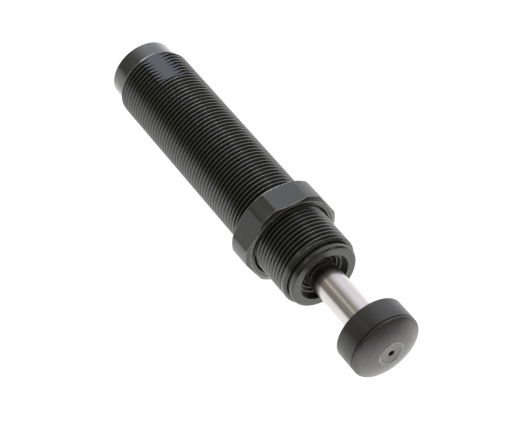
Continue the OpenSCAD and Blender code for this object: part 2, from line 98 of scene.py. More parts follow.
FLANK_ANGLE = 30
PITCH = 1.5 * MM
CREST_WIDTH = 0.3 * MM
ROOT_WIDTH = 0.19 * MM
EDGE_WIDTH = 0.14 * MM
THREAD_START = 0.27  # of a turn
OIL_DEPTHS = (0.25 * MM, 0.06 * MM)  # below the crests: where it is thin, and where it is full
OIL_FADE = 0.5 * MM
COLLAR_LENGTH = 5.75 * MM
REAR_CHAMFER = 0.2 * MM
REAR_TAPER = 2.2 * MM
PILOT_RADIUS = 11.35 * MM
PILOT_LENGTH = 2 * MM
FRONT_CHAMFER = 0.5 * MM
LIP_ROUNDING = 0.35 * MM
RELIEF_WIDTH = 0.35 * MM
RELIEF_DEPTH = 0.35 * MM
THREAD_FRONT_RADIUS = 11.8 * MM
FRONT_TAPER = 0.7 * MM
FRONT_LAND = 1.35 * MM
BODY_ROUNDING = 0.1 * MM
FLAT_LENGTH = 13.8 * MM
FLAT_DEPTH = 0.95 * MM
FLAT_Z = thread_radius - FLAT_DEPTH
SLIP_GAP = 0.05 * MM
RUN_GAP = 0.03 * MM
RING_WIDTH = 1.85 * MM
RING_OPENING = 3 * MM
RING_ROUNDING = 0.12 * MM
RING_STEPS = 110
HEEL_GAP = 0.3 * MM
WIPER_CASE = 1 * MM
WIPER_GROOVE = 0.45 * MM
WIPER_GROOVE_DEPTH = 1.7 * MM
WIPER_TIP = 0.35 * MM
WIPER_TIP_BACK = 0.25 * MM
WIPER_LIP = 0.5 * MM
WIPER_ROUNDING = 0.12 * MM
LIGHTENED_REACH = 0.14 * MM
NUT_FACE_STEP = 0.5 * MM
NUT_GAP = 0.05 * MM
NUT_SINK = 0.8 * MM
NUT_EDGE = 0.15 * MM
NUT_BOX_ALLOWANCE = 0.002 * MM  # keeps the flats inside the CAD nut's box
ROD_SPIGOT_RADIUS = 3 * MM
ROD_CHAMFER = 0.5 * MM
ROD_ROUNDING = 0.1 * MM
ROD_COLUMNS = 128
PLUG_HEAD_HEIGHT = 2.6 * MM
PLUG_SHANK_RADIUS = 3 * MM
PLUG_KEY = 3 * MM
PLUG_SEAL = 0.8 * MM
PLUG_EDGE = 0.3 * MM
PLUG_KEY_EDGE = 0.45 * MM
PLUG_COLUMNS = 72
COIL_RADIUS = 5 * MM
COILS = 16
CAP_CHAMFER = 0.2 * MM
CAP_GROOVE_WIDTH = 0.42 * MM
CAP_GROOVE_DEPTH = 0.5 * MM
CAP_ROUNDING = 0.07 * MM
CAP_COLUMNS = 128
INSERT_SLEEVE = 1.2 * MM
INSERT_FLANGE = 1.5 * MM
DISC_RADIUS = 3.9 * MM
DISC_RIM_HEIGHT = 0.15 * MM
DISC_RIM_WIDTH = 0.25 * MM
DISC_LIGHTENING = 0.12  # how much lighter the disc is painted, partly scuffing and partly a painted reflection; 1 is the rim's painted highlight
PIP_RADIUS = 1 * MM
PIP_DEPTH = 1.6 * MM
DOME_HEIGHT = 3.4 * MM
SHOULDER_RADIUS = 1 * MM
DOME_SLOPE = 30
DOME_STEPS = 15
COLUMNS = 130  # points round the body and the wiper
ARC_STEPS = 4
ARC_REACH = 0.42  # of a side beside a corner, at most
ARC_TURN = 12  # at least, or the corner stays
SHARP_ANGLE = 35
MERGE_DISTANCE = 0.002 * MM
FACE_MARGIN = 0.02 * MM  # how near to a flat face its mask reaches
TINY = 1e-7

thread_rear_x = rear_x + COLLAR_LENGTH
pilot_rear_x = front_x - PILOT_LENGTH
thread_front_x = pilot_rear_x - RELIEF_WIDTH
thread_depth = (PITCH - CREST_WIDTH - ROOT_WIDTH) / 2 / tan(radians(FLANK_ANGLE))
bore_radius = outer_radius("front_gland") + SLIP_GAP
nut_bore_radius = thread_radius + NUT_GAP
nut_face_radius = nut_half_flats - NUT_FACE_STEP

# ---------- node helpers


class Wiring:
    """Short ways to add and join nodes in one tree."""

    def __init__(self, tree):
        self.tree = tree

    def node(self, kind, values=None, **settings):
        """Adds a node with the given settings, and with values for some of its inputs."""
        made = self.tree.nodes.new(kind)
        for name, value in settings.items():
            setattr(made, name, value)
        self.feed_all(made, values or {})
        return made

    def feed(self, socket, value):
        """Joins value to a socket if it is a socket too, and otherwise sets it."""
        if isinstance(value, bpy.types.NodeSocket):
            self.tree.links.new(value, socket)
        elif socket.type == "RGBA":
            socket.default_value = (*value, 1.0)
        else:
            socket.default_value = value

    def feed_all(self, node, values):
        """Feeds the inputs of a node, each by its name or number."""
        for name, value in values.items():
            self.feed(node.inputs[name], value)

    def math(self, operation, *values, clamp=False):
        """What a maths node makes of its values."""
        values = dict(enumerate(values))
        return self.node("ShaderNodeMath", values, operation=operation, use_clamp=clamp).outputs[0]

    def times(self, first, second):
        return self.math("MULTIPLY", first, second)

    def plus(self, first, second):
        return self.math("ADD", first, second)

    def minus(self, first, second):
        return self.math("SUBTRACT", first, second)

    def map_range(self, value, from_low, from_high, to_low=0.0, to_high=1.0):
        """Takes a value from one range to another and holds it at the ends."""
        values = dict(enumerate((value, from_low, from_high, to_low, to_high)))
        return self.node("ShaderNodeMapRange", values).outputs[0]

    def mix_colour(self, factor, first, second):
        """A colour between two others, which are sockets or (red, green, blue)."""
        made = self.node("ShaderNodeMix", {"Factor": factor}, data_type="RGBA")
        sockets = [socket for socket in made.inputs if socket.type == "RGBA"]
        self.feed(sockets[0], first)
        self.feed(sockets[1], second)
        return next(socket for socket in made.outputs if socket.type == "RGBA")

    def noise(self, vector, scale, detail=2.0, roughness=0.5, dimensions="3D"):
        """A noise from 0 to 1. In one dimension the vector is a single value."""
        values = {
            "W" if dimensions == "1D" else "Vector": vector,
            "Scale": scale, "Detail": detail, "Roughness": roughness,
        }
        return self.node("ShaderNodeTexNoise", values, noise_dimensions=dimensions).outputs[0]

    def place(self):
        """The place on the object, in its own frame."""
        return self.node("ShaderNodeTexCoord").outputs["Object"]

    def parts(self, vector):
        """The X, Y and Z of a vector."""
        return self.node("ShaderNodeSeparateXYZ", {0: vector}).outputs

    def wound(self, along, radius, angle):
        """The place at an angle and a radius round the axis."""
        return self.node("ShaderNodeCombineXYZ", {
            "X": along,
            "Y": self.times(radius, self.math("COSINE", angle)),
            "Z": self.times(radius, self.math("SINE", angle)),
        }).outputs[0]


def named_group(name, kind, inputs, outputs, output_type="NodeSocketFloat"):
    """An empty node group, its wiring, its input sockets to read and its output node.

    inputs gives each input's default value. A material input has None.
    """
    group = bpy.data.node_groups.new(name, kind)
    socket_types = {float: "NodeSocketFloat", int: "NodeSocketInt"}
    for label, value in inputs.items():
        socket = group.interface.new_socket(
            label, in_out="INPUT", socket_type=socket_types.get(type(value), "NodeSocketMaterial"))
        if value is not None:
            socket.default_value = value
    for label in outputs:
        group.interface.new_socket(label, in_out="OUTPUT", socket_type=output_type)
    wiring = Wiring(group)
    return group, wiring, wiring.node("NodeGroupInput").outputs, wiring.node("NodeGroupOutput")


# ---------- shared surface effects


def tool_marks_group():
    """Fine rings that a lathe leaves round the axis, as a height."""
    group, wiring, given, leave = named_group(
        "tool_marks", "ShaderNodeTree", {"Rings per metre": 9000.0, "Waver": 0.00003}, ["Height"])
    place = wiring.place()
    drift = wiring.times(wiring.noise(place, 180.0), given["Waver"])
    along = wiring.plus(wiring.parts(place)["X"], drift)
    fine = wiring.noise(
        wiring.times(along, given["Rings per metre"]), 1.0, detail=3.0, roughness=0.7,
        dimensions="1D")
    wiring.feed(leave.inputs["Height"], fine)
    return group


def film_group():
    """Patchy oil and handling film: a slow mask and a finer mottle."""
    group, wiring, given, leave = named_group(
        "oil_film", "ShaderNodeTree", {"Patch scale": 90.0, "Mottle scale": 1400.0},
        ["Patches", "Mottle"])
    place = wiring.place()
    patches = wiring.noise(place, given["Patch scale"], detail=4.0)
    mottle = wiring.noise(place, given["Mottle scale"], detail=5.0, roughness=0.65)
    wiring.feed(leave.inputs["Patches"], wiring.map_range(patches, 0.35, 0.7))
    wiring.feed(leave.inputs["Mottle"], mottle)
    return group


def worn_edge_group():
    """Where a fine mesh turns sharply outwards, broken up by a fine noise, as a mask."""
    group, wiring, _, leave = named_group("worn_edges", "ShaderNodeTree", {}, ["Mask"])
    point = wiring.node("ShaderNodeNewGeometry").outputs["Pointiness"]
    broken = wiring.map_range(wiring.noise(wiring.place(), 900.0, detail=4.0), 0.4, 0.62, 0.35)
    lightened = wiring.math("MULTIPLY", wiring.map_range(point, 0.54, 0.62), broken, clamp=True)
    wiring.feed(leave.inputs["Mask"], lightened)
    return group


def moulded_grain_group():
    """Fine grain of a moulded surface, as a height."""
    group, wiring, given, leave = named_group(
        "moulded_grain", "ShaderNodeTree", {"Grain scale": 5200.0}, ["Height"])
    grain = wiring.noise(wiring.place(), given["Grain scale"], detail=3.0, roughness=0.6)
    wiring.feed(leave.inputs["Height"], grain)
    return group


TOOL_MARKS = tool_marks_group()
OIL_FILM = film_group()
WORN_EDGES = worn_edge_group()
MOULDED_GRAIN = moulded_grain_group()

# ---------- materials


def new_material(name):
    """A material, its wiring and its Principled shader."""
    material = bpy.data.materials.new(name)
    material.use_nodes = True
    return material, Wiring(material.node_tree), material.node_tree.nodes["Principled BSDF"]


def placed_group(wiring, group, **values):
    """The outputs of a shared effect. Its inputs are named with _ for a space."""
    values = {label.replace("_", " "): value for label, value in values.items()}
    return wiring.node("ShaderNodeGroup", values, node_tree=group).outputs


def add_bump(wiring, shader, height, strength, distance):
    """Raises the surface by a height from 0 to 1. The distance is in metres."""
    bump = wiring.node(
        "ShaderNodeBump", {"Strength": strength, "Distance": distance, "Height": height})
    wiring.feed(shader.inputs["Normal"], bump.outputs["Normal"])


def marked_edges(wiring):
    """The faces marked to be painted lighter, broken up by a fine noise: partly scuffing and partly
    painted highlights and reflections.
    """
    marked = wiring.node("ShaderNodeAttribute", attribute_name="lightened").outputs["Fac"]
    noise = wiring.noise(wiring.place(), 700.0, detail=4.0)
    return wiring.times(marked, wiring.map_range(noise, 0.35, 0.6, 0.45))


def turned_faces(wiring, place):
    """A mask of the body without its rear face and its milled flat, which nothing rubs."""
    parts = wiring.parts(place)
    past_rear_face = wiring.math("GREATER_THAN", parts["X"], rear_x + FACE_MARGIN)
    past_flat = wiring.math("GREATER_THAN", parts["X"], thread_rear_x + FLAT_LENGTH)
    below_flat = wiring.math("LESS_THAN", parts["Z"], FLAT_Z - FACE_MARGIN / 2)
    return wiring.times(past_rear_face, wiring.math("MAXIMUM", past_flat, below_flat))


def oil_weight(wiring, place, oil):
    """The body's dry front face, and the oil's weight: thin in the grooves and near that face."""
    parts = wiring.parts(place)
    across = wiring.node("ShaderNodeCombineXYZ", {"Y": parts["Y"], "Z": parts["Z"]}).outputs[0]
    radius = wiring.node("ShaderNodeVectorMath", {0: across}, operation="LENGTH").outputs["Value"]
    dry_radius, oiled_radius = (thread_radius - depth for depth in OIL_DEPTHS)
    crest = wiring.map_range(radius, dry_radius, oiled_radius, 0.1)
    behind = wiring.math("LESS_THAN", parts["X"], thread_rear_x)
    dry_x = thread_front_x - FRONT_LAND
    wetted = wiring.map_range(parts["X"], dry_x - OIL_FADE, dry_x, 1.0, 0.0)
    front_face = wiring.math("GREATER_THAN", parts["X"], front_x - FACE_MARGIN)
    covered = wiring.times(wiring.math("MAXIMUM", crest, behind), wetted)
    return front_face, wiring.times(covered, oil)


def black_oxide(
        name, dark, light, roughness, bare_and_highlight=(0.15, 0.145, 0.13), oil=1.0, tint=(0.97, 1.0, 0.97),
        threaded=False):
    """Blackened machined steel: dark, oiled, a little lighter and smoother where handling has
    scuffed it.

    It is scuffed on its thread crests if it is threaded, or on the faces that are marked. The
    marked faces are painted lighter, partly as scuffing and partly as a painted highlight. On a
    threaded body the rear face and the flat are also tinted bluer as a painted reflection.
    """
    material, wiring, shader = new_material(name)
    film = placed_group(wiring, OIL_FILM)
    place = wiring.place()
    colour = wiring.mix_colour(film["Patches"], dark, light)
    mottle_and_painted_blue = wiring.mix_colour(wiring.map_range(film["Mottle"], 0.3, 0.7, 0.0, 0.5), colour, light)
    if threaded:
        turned_face = turned_faces(wiring, place)
        wear_and_highlight = wiring.times(placed_group(wiring, WORN_EDGES)["Mask"], turned_face)
        # painted reflection: the rear face and the flat are tinted bluer, standing in for the
        # bluish light that they reflect
        mottle_and_painted_blue = wiring.mix_colour(turned_face, (0.022, 0.023, 0.056), mottle_and_painted_blue)
    else:
        wear_and_highlight = marked_edges(wiring)
    # lighter where scuffed; on the marked faces of the nut and the ring this lighter colour is also
    # a painted highlight
    rubbed_and_highlit = wiring.mix_colour(wiring.times(wear_and_highlight, 0.8), mottle_and_painted_blue, bare_and_highlight)
    front_face, weight = oil_weight(wiring, place, oil)
    specks = wiring.map_range(wiring.noise(place, 1900.0, detail=3.0, roughness=0.6), 0.42, 0.6)
    dry = wiring.mix_colour(specks, (0.004, 0.004, 0.003), (0.075, 0.073, 0.062))
    rough = wiring.map_range(film["Mottle"], 0.25, 0.75, roughness - 0.07, roughness + 0.1)
    smoother = wiring.minus(rough, wiring.times(wear_and_highlight, 0.12))
    wiring.feed_all(shader, {
        "Base Color": wiring.mix_colour(front_face, rubbed_and_highlit, dry),
        "Roughness": wiring.plus(smoother, wiring.times(front_face, 0.12)),
        "IOR": 1.82,
        "Specular Tint": tint,
        "Coat IOR": 1.52,
        "Coat Roughness": 0.18,
        "Coat Weight": weight,
    })
    height = wiring.plus(placed_group(wiring, TOOL_MARKS)["Height"], film["Mottle"])
    add_bump(wiring, shader, height, 0.12, 0.00001)
    return material


def machined_metal(name, colour, roughness, marks=7000.0):
    """Bare turned metal with fine lathe rings."""
    material, wiring, shader = new_material(name)
    rings = placed_group(wiring, TOOL_MARKS, Rings_per_metre=marks)["Height"]
    patches = placed_group(wiring, OIL_FILM)["Patches"]
    darker = [channel * 0.72 for channel in colour]
    wiring.feed_all(shader, {
        "Base Color": wiring.mix_colour(patches, colour, darker),
        "Metallic": 1.0,
        "Roughness": wiring.map_range(rings, 0.3, 0.7, roughness - 0.06, roughness + 0.08),
    })
    add_bump(wiring, shader, rings, 0.3, 0.000015)
    return material


def polished_rod():
    """Ground and polished rod: bright, with faint rings and a thin oil film."""
    material, wiring, shader = new_material("polished_rod_steel")
    lathe = placed_group(wiring, TOOL_MARKS, Rings_per_metre=16000.0, Waver=0.00001)
    film = placed_group(wiring, OIL_FILM, Patch_scale=55.0, Mottle_scale=2400.0)
    wiring.feed_all(shader, {
        "Base Color": wiring.mix_colour(
            film["Patches"], (0.705, 0.662, 0.638), (0.655, 0.612, 0.592)),
        "Metallic": 1.0,
        "Roughness": wiring.map_range(film["Mottle"], 0.25, 0.75, 0.17, 0.25),
    })
    add_bump(wiring, shader, lathe["Height"], 0.12, 0.000008)
    return material


def cap_plastic():
    """Matt black glass-filled nylon, its front face shinier and dusty from striking things."""
    material, wiring, shader = new_material("cap_nylon")
    film = placed_group(wiring, OIL_FILM, Patch_scale=140.0, Mottle_scale=900.0)
    base = wiring.mix_colour(film["Patches"], (0.026, 0.025, 0.022), (0.038, 0.036, 0.032))
    struck = wiring.map_range(
        wiring.parts(wiring.place())["X"], cap_front_x - DOME_HEIGHT, cap_front_x - DOME_HEIGHT / 2)
    dust = wiring.times(struck, wiring.map_range(film["Mottle"], 0.44, 0.6, 0.0, 0.75))
    dusty = wiring.mix_colour(dust, base, (0.088, 0.074, 0.059))
    # marked faces are painted light: the disc's rim as a painted highlight, the disc a little as a
    # painted reflection, both partly scuffing
    wiring.feed_all(shader, {
        "Base Color": wiring.mix_colour(marked_edges(wiring), dusty, (0.7, 0.69, 0.66)),
        "Roughness": wiring.map_range(film["Mottle"], 0.25, 0.75, 0.28, 0.4),
        "IOR": 1.65,
        "Coat IOR": 1.6,
        "Coat Roughness": 0.42,
        "Coat Weight": wiring.times(struck, 0.85),
    })
    add_bump(wiring, shader, placed_group(wiring, MOULDED_GRAIN)["Height"], 0.35, 0.00003)
    return material


def rubber(name, colour, roughness):
    """Matt elastomer or soft plastic with a fine surface."""
    material, wiring, shader = new_material(name)
    film = placed_group(wiring, OIL_FILM, Patch_scale=200.0, Mottle_scale=1600.0)
    grain = placed_group(wiring, MOULDED_GRAIN, Grain_scale=3800.0)
    lighter = [channel * 1.5 + 0.004 for channel in colour]
    clean = wiring.mix_colour(film["Patches"], colour, lighter)
    # marked faces, the wiper's case edge, are painted light grey: partly scuffing, partly a painted
    # highlight
    wiring.feed_all(shader, {
        "Base Color": wiring.mix_colour(marked_edges(wiring), clean, (0.55, 0.54, 0.5)),
        "Roughness": wiring.map_range(
            film["Mottle"], 0.25, 0.75, roughness - 0.1, roughness + 0.1),
    })
    add_bump(wiring, shader, grain["Height"], 0.3, 0.00002)
    return material


def foam_skin():
    """Closed-cell foam with small bubbles at its skin."""
    material, wiring, shader = new_material("accumulator_foam_skin")
    cells = wiring.node("ShaderNodeTexVoronoi", {"Vector": wiring.place(), "Scale": 2600.0})
    bubbles = cells.outputs["Distance"]
    wiring.feed_all(shader, {
        "Base Color": wiring.mix_colour(bubbles, (0.02, 0.019, 0.017), (0.06, 0.057, 0.05)),
        "Roughness": 0.85,
    })
    add_bump(wiring, shader, bubbles, 0.6, 0.0001)
    return material


BODY_STEEL = black_oxide(
    "black_oxide_body", (0.0045, 0.0047, 0.0015), (0.0085, 0.0087, 0.0035), 0.2,
    tint=(0.96, 0.99, 0.97), threaded=True)
# the nut's light edge colour is partly scuffed steel and partly a painted highlight on its bevels
NUT_STEEL = black_oxide(
    "black_oxide_nut", (0.008, 0.008, 0.0055), (0.013, 0.013, 0.01), 0.3,
    bare_and_highlight=(0.42, 0.4, 0.35), oil=0.25)
PLUG_STEEL = black_oxide("black_oxide_plug", (0.05, 0.05, 0.047), (0.07, 0.069, 0.065), 0.38)
GLAND_STEEL = machined_metal("phosphated_gland", (0.06, 0.058, 0.052), 0.4)
# the ring's light edge colour is partly scuffed steel and partly a painted highlight
RING_STEEL = black_oxide(
    "black_oxide_ring", (0.01, 0.01, 0.008), (0.02, 0.02, 0.016), 0.34,
    bare_and_highlight=(0.6, 0.58, 0.52), oil=0.2)
ROD_STEEL = polished_rod()
HARD_STEEL = machined_metal("ground_hard_steel", (0.4, 0.4, 0.41), 0.3)
ZINC_STEEL = machined_metal("zinc_plated_steel", (0.58, 0.58, 0.6), 0.34)
SPRING_STEEL = machined_metal("spring_wire", (0.36, 0.35, 0.34), 0.36, marks=3000.0)
BALL_STEEL = machined_metal("bearing_ball_steel", (0.66, 0.66, 0.68), 0.12)
BRONZE = machined_metal("bearing_bronze", (0.52, 0.31, 0.13), 0.36)
COPPER = machined_metal("annealed_copper", (0.62, 0.27, 0.14), 0.36)
FILLED_PTFE = rubber("bronze_filled_ptfe", (0.3, 0.23, 0.12), 0.5)
PLAIN_PTFE = rubber("plain_ptfe", (0.72, 0.7, 0.65), 0.45)
POLYURETHANE = rubber("rod_seal_polyurethane", (0.1, 0.042, 0.02), 0.4)
NITRILE = rubber("nitrile_rubber", (0.012, 0.012, 0.012), 0.55)
WIPER_RUBBER = rubber("wiper_rubber", (0.06, 0.06, 0.055), 0.36)
FOAM = foam_skin()
CAP_NYLON = cap_plastic()

# ---------- mesh helpers


def add_object(name, data):
    """An object with the given data, in the scene."""
    made = bpy.data.objects.new(name, data)
    bpy.context.scene.collection.objects.link(made)
    return made


def mesh_from(name, builder):
    """A mesh with what the builder holds. The builder is freed."""
    mesh = bpy.data.meshes.new(name)
    builder.to_mesh(mesh)
    builder.free()
    return mesh


def smooth(mesh, sharp_angle=SHARP_ANGLE):
    """Smooth shading, but for edges that turn by more than the angle in degrees."""
    mesh.polygons.foreach_set("use_smooth", [True] * len(mesh.polygons))
    mesh.set_sharp_from_angle(angle=radians(sharp_angle))


def finish_mesh(name, builder, material, sharp_angle=SHARP_ANGLE):
    """Merges doubles, turns the faces outwards and makes the object."""
    bmesh.ops.remove_doubles(builder, verts=builder.verts, dist=TINY)
    bmesh.ops.dissolve_degenerate(builder, edges=builder.edges, dist=TINY / 10)
    bmesh.ops.recalc_face_normals(builder, faces=builder.faces)
    mesh = mesh_from(name, builder)
    mesh.materials.append(material)
    smooth(mesh, sharp_angle)
    return add_object(name, mesh)


def rounded(outline, radius, open_ends=False):
    """The outline with each corner off the axis turned into a small arc."""
    points = []
    count = len(outline)
    for index, corner in enumerate(outline):
        here = Vector(corner)
        at_end = open_ends and index in (0, count - 1)
        before = Vector(outline[index - 1]) - here
        after = Vector(outline[(index + 1) % count]) - here
        turn = pi - before.angle(after)
        if here.y < TINY or at_end or turn < radians(ARC_TURN):
            points.append(here)
            continue
        reach = min(radius * tan(turn / 2), ARC_REACH * before.length, ARC_REACH * after.length)
        start = here + before.normalized() * reach
        end = here + after.normalized() * reach
        for step in range(ARC_STEPS + 1):
            share = step / ARC_STEPS
            points.append(
                start * (1 - share) ** 2 + here * 2 * share * (1 - share) + end * share ** 2)
    return points


def add_turned(builder, outline, columns=COLUMNS, closed=True, radius_at=None):
    """Adds an outline of (x, radius) points turned about the axis. radius_at may reshape it."""
    rings = []
    for x, radius in outline:
        ring = []
        for column in range(columns):
            angle = 2 * pi * column / columns
            reach = radius if radius_at is None else radius_at(radius, angle)
            ring.append(builder.verts.new((x, reach * cos(angle), reach * sin(angle))))
        rings.append(ring)
    last = len(rings) if closed else len(rings) - 1
    for index in range(last):
        here, there = rings[index], rings[(index + 1) % len(rings)]
        for column in range(columns):
            beside = (column + 1) % columns
            builder.faces.new((here[column], here[beside], there[beside], there[column]))


def add_column(builder, outline, angle):
    """Adds the points of an outline of (x, radius) points at an angle about the axis."""
    return [
        builder.verts.new((x, radius * cos(angle), radius * sin(angle)))
        for x, radius in outline
    ]


def join_columns(builder, columns):
    """Adds the faces between each column of points and the next."""
    for column, beside in zip(columns, columns[1:]):
        for row in range(len(column)):
            below = (row + 1) % len(column)
            builder.faces.new((column[row], beside[row], beside[below], column[below]))


def new_builder():
    """An empty mesh builder, and its layer that marks the faces to be painted lighter, partly as
    scuffing and partly as painted highlights and reflections.
    """
    builder = bmesh.new()
    return builder, builder.faces.layers.float.new("lightened")


def lighten_inner_edge(builder, lightened, radius, face_x):
    """Marks the edge between a hole of the given radius and the front face to be painted lighter,
    partly as scuffing and partly as a painted highlight.
    """
    for face in builder.faces:
        middle = face.calc_center_median()
        if middle.yz.length < radius + LIGHTENED_REACH and middle.x > face_x - LIGHTENED_REACH:
            face[lightened] = 1.0


def plain_mesh(made):
    """Turns an object with modifiers into a plain mesh and removes the modifiers."""
    bpy.context.view_layer.update()
    evaluated = made.evaluated_get(bpy.context.evaluated_depsgraph_get())
    mesh = bpy.data.meshes.new_from_object(evaluated, preserve_all_data_layers=False)
    made.modifiers.clear()
    made.data = mesh


def grown(name, group, material, **values):
    """A plain mesh made by a geometry node group. Its inputs are named with _ for a space."""
    made = add_object(name, bpy.data.meshes.new(name))
    modifier = made.modifiers.new("shape", "NODES")
    modifier.node_group = group
    sockets = {
        item.name: item.identifier for item in group.interface.items_tree
        if item.item_type == "SOCKET" and item.in_out == "INPUT"
    }
    for label, value in values.items():
        modifier[sockets[label.replace("_", " ")]] = value
    modifier[sockets["Material"]] = material
    plain_mesh(made)
    return made


# ---------- geometry node groups


def helical_thread_group():
    """A helical 60 degree thread, trimmed by a taper at each end down to the plain diameters.

    A grid one pitch wide and all the turns long is wound round the axis. Its edges meet those of
    the next turn. Where it would run past the ends it folds into the end circles. The groove runs
    out into a plain land at a given turn.
    """
    group, wiring, given, leave = named_group("helical_thread", "GeometryNodeTree", {
        "Rear": 0.0, "Front": 0.1, "Crest radius": 0.0125, "Depth": 0.0009, "Pitch": 0.0015,
        "Turns": 68, "Steps per turn": COLUMNS, "Start": 0.0, "Crest width": 0.0003,
        "Root width": 0.0002, "Edge width": 0.0001, "Last turn": 65.0, "Run out": 0.12,
        "Rear radius": 0.011, "Rear taper": 0.002, "Front radius": 0.0113, "Front taper": 0.002,
        "Material": None,
    }, ["Geometry"], "NodeSocketGeometry")
    turns, pitch, edge_width = given["Turns"], given["Pitch"], given["Edge width"]
    rear, front, crest_radius = given["Rear"], given["Front"], given["Crest radius"]

    # the profile's bends, as distances from the crest's middle, and a grid with a row for each
    half_crest = wiring.times(given["Crest width"], 0.5)
    half_edge = wiring.times(edge_width, 0.5)
    half_pitch = wiring.times(pitch, 0.5)
    root_edge = wiring.minus(half_pitch, wiring.times(given["Root width"], 0.5))
    bends = [
        0.0, wiring.minus(half_crest, half_edge), half_crest, wiring.plus(half_crest, half_edge),
        root_edge, half_pitch,
    ]
    steps = wiring.times(turns, given["Steps per turn"])
    grid = wiring.node("GeometryNodeMeshGrid", {
        "Size X": turns, "Size Y": 2.0, "Vertices X": wiring.plus(steps, 1.0),
        "Vertices Y": 2 * len(bends) - 1,
    })
    place = wiring.parts(wiring.node("GeometryNodeInputPosition").outputs[0])
    turn = wiring.plus(place["X"], wiring.times(turns, 0.5))
    side = wiring.math("SIGN", place["Y"])
    row = wiring.math("ABSOLUTE", place["Y"])
    off = 0.0
    for index, (near, far) in enumerate(zip(bends, bends[1:])):
        first, last = index / (len(bends) - 1), (index + 1) / (len(bends) - 1)
        off = wiring.plus(off, wiring.map_range(row, first, last, 0.0, wiring.minus(far, near)))

    # along the axis, held between the two ends
    advance = wiring.plus(wiring.times(turn, pitch), wiring.times(off, side))
    free = wiring.plus(wiring.minus(rear, pitch), advance)
    along = wiring.math("MINIMUM", wiring.math("MAXIMUM", free, rear), front)

    # radius: a flat crest with rounded edges, straight flanks and a flat root
    past_crest = wiring.minus(off, bends[1])
    edge = wiring.math("MINIMUM", wiring.math("MAXIMUM", past_crest, 0.0), edge_width)
    rounding = wiring.math("DIVIDE", wiring.times(edge, edge), wiring.times(edge_width, 2.0))
    past_edge = wiring.math("MAXIMUM", wiring.minus(past_crest, edge_width), 0.0)
    fall = wiring.times(wiring.plus(rounding, past_edge), 1 / tan(radians(FLANK_ANGLE)))
    groove_turn = wiring.plus(turn, wiring.times(side, 0.5))
    left = wiring.minus(given["Last turn"], groove_turn)
    depth = wiring.map_range(left, 0.0, given["Run out"], 0.0, given["Depth"])
    profile = wiring.minus(crest_radius, wiring.math("MINIMUM", fall, depth))
    rear_limit = wiring.map_range(
        along, rear, wiring.plus(rear, given["Rear taper"]), given["Rear radius"], crest_radius)
    front_limit = wiring.map_range(
        along, wiring.minus(front, given["Front taper"]), front, crest_radius,
        given["Front radius"])
    limit = wiring.math("MINIMUM", rear_limit, front_limit)
    radius = wiring.math("MINIMUM", limit, profile)

    angle = wiring.times(wiring.plus(turn, given["Start"]), 2 * pi)
    moved = wiring.node("GeometryNodeSetPosition", {
        "Geometry": grid.outputs["Mesh"], "Position": wiring.wound(along, radius, angle)})
    merged = wiring.node("GeometryNodeMergeByDistance", {
        "Geometry": moved.outputs[0], "Distance": MERGE_DISTANCE})
    finish_tree(wiring, merged.outputs[0], given["Material"], leave)
    return group


def finish_tree(wiring, geometry, material, leave):
    """Ends a tree in Realize Instances and Set Material."""
    real = wiring.node("GeometryNodeRealizeInstances", {0: geometry})
    painted = wiring.node(
        "GeometryNodeSetMaterial", {"Geometry": real.outputs[0], "Material": material})
    wiring.feed(leave.inputs[0], painted.outputs[0])


def coil_spring_group():
    """A compression spring along the axis, with its end coils closed up."""
    group, wiring, given, leave = named_group("coil_spring", "GeometryNodeTree", {
        "Rear": 0.0, "Front": 0.04, "Coil radius": 0.005, "Wire radius": 0.0005, "Coils": 16,
        "Closed coils": 1.0, "Steps per coil": 32, "Material": None,
    }, ["Geometry"], "NodeSocketGeometry")
    coils, end_coils, wire_radius = given["Coils"], given["Closed coils"], given["Wire radius"]
    line = wiring.node("GeometryNodeCurvePrimitiveLine", {"End": (1.0, 0.0, 0.0)})
    count = wiring.plus(wiring.times(coils, given["Steps per coil"]), 1.0)
    points = wiring.node("GeometryNodeResampleCurve", {"Curve": line.outputs[0], "Count": count})
    turn = wiring.times(wiring.node("GeometryNodeSplineParameter").outputs["Factor"], coils)
    wire = wiring.times(wire_radius, 2.0)
    length = wiring.minus(wiring.minus(given["Front"], given["Rear"]), wire)
    closed = wiring.times(wire, end_coils)
    opened = wiring.minus(wiring.minus(length, closed), closed)
    last = wiring.minus(coils, end_coils)
    first_part = wiring.map_range(turn, 0.0, end_coils, 0.0, closed)
    middle = wiring.map_range(turn, end_coils, last, 0.0, opened)
    last_part = wiring.map_range(turn, last, coils, 0.0, closed)
    along = wiring.plus(wiring.plus(first_part, middle), last_part)
    start = wiring.plus(given["Rear"], wire_radius)
    place = wiring.wound(
        wiring.plus(start, along), given["Coil radius"], wiring.times(turn, 2 * pi))
    moved = wiring.node(
        "GeometryNodeSetPosition", {"Geometry": points.outputs[0], "Position": place})
    section = wiring.node(
        "GeometryNodeCurvePrimitiveCircle", {"Resolution": 12, "Radius": wire_radius})
    drawn = wiring.node("GeometryNodeCurveToMesh", {
        "Curve": moved.outputs[0], "Profile Curve": section.outputs[0], "Fill Caps": True})
    finish_tree(wiring, drawn.outputs[0], given["Material"], leave)
    return group


# ---------- the pieces that show


